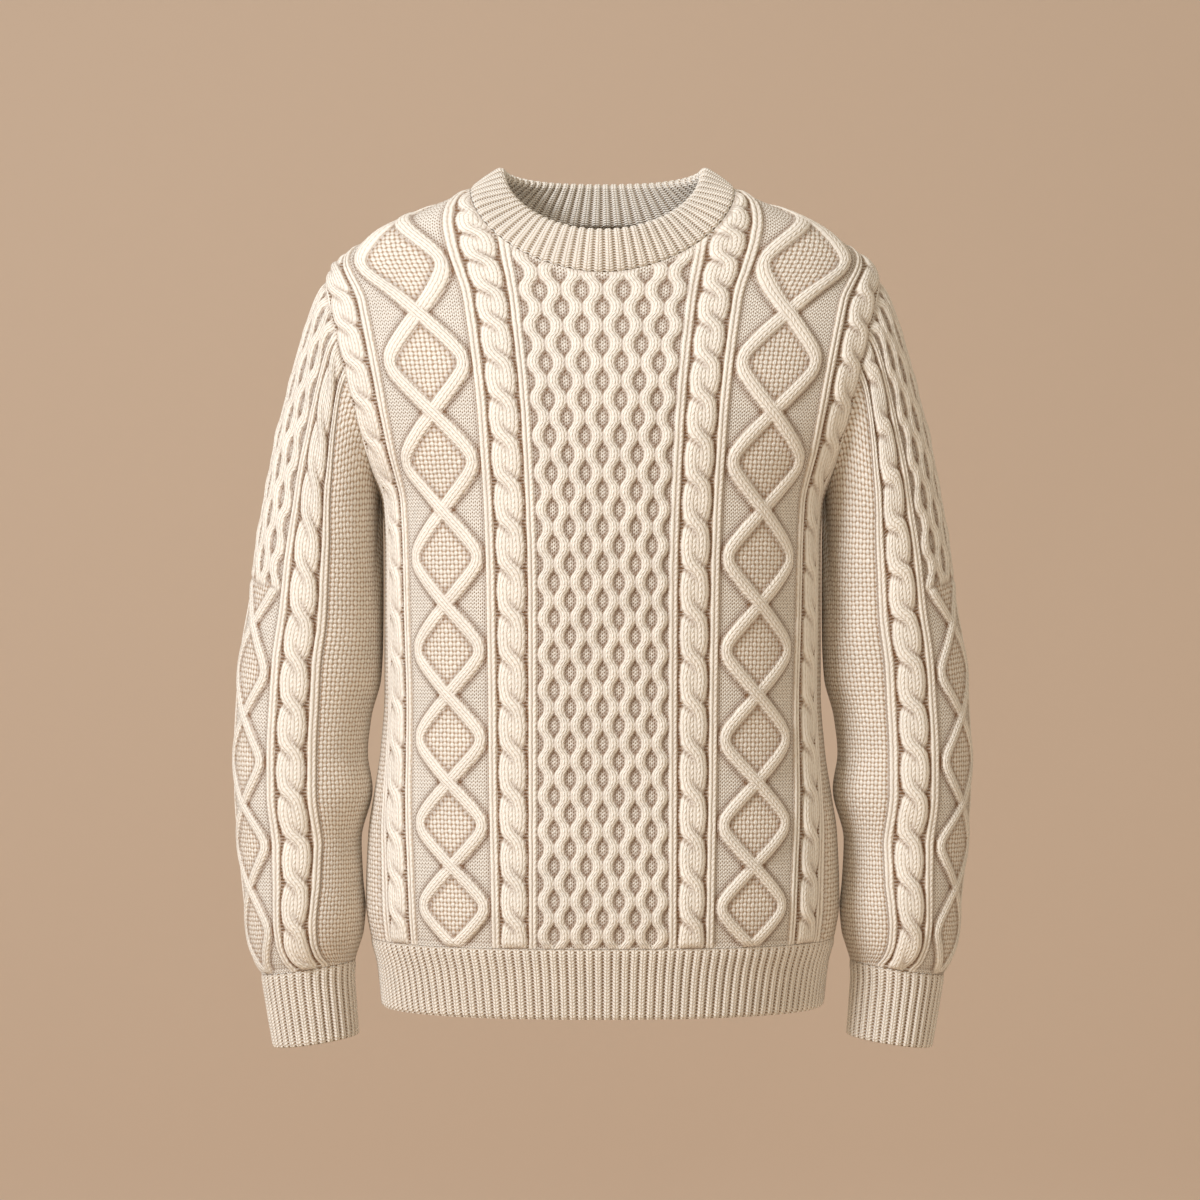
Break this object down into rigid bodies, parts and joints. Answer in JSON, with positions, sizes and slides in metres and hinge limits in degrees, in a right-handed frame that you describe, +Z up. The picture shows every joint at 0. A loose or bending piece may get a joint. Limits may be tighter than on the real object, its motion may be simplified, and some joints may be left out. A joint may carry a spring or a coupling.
{
  "type": "cable knit sweater",
  "caption": "Hollow crew-neck pullover in a raised cable knit with long sleeves and ribbed neckband, hem and cuffs, held in its worn shape.",
  "frame": {"origin": "midway between the neck points of the two shoulder seams, where the wearer's shoulders carry the sweater", "axes": "+Z up, -Y towards the sweater's front, +X towards the wearer's left arm"},
  "size_m": [0.6102, 0.2654, 0.7266],
  "materials": {
    "front": "undyed cream wool, cable knit",
    "back": "undyed cream wool, cable knit",
    "sleeves": "undyed cream wool, cable knit",
    "neckband": "undyed cream wool, ribbed and doubled",
    "hem_front": "undyed cream wool, ribbed",
    "hem_back": "undyed cream wool, ribbed",
    "cuffs": "undyed cream wool, ribbed"
  },
  "bodies": {
    "root": {"front": "front", "back": "back", "sleeve_left": "sleeves", "sleeve_right": "sleeves", "neckband": "neckband", "hem_front": "hem_front", "hem_back": "hem_back", "cuff_left": "cuffs", "cuff_right": "cuffs"}
  },
  "joints": []
}
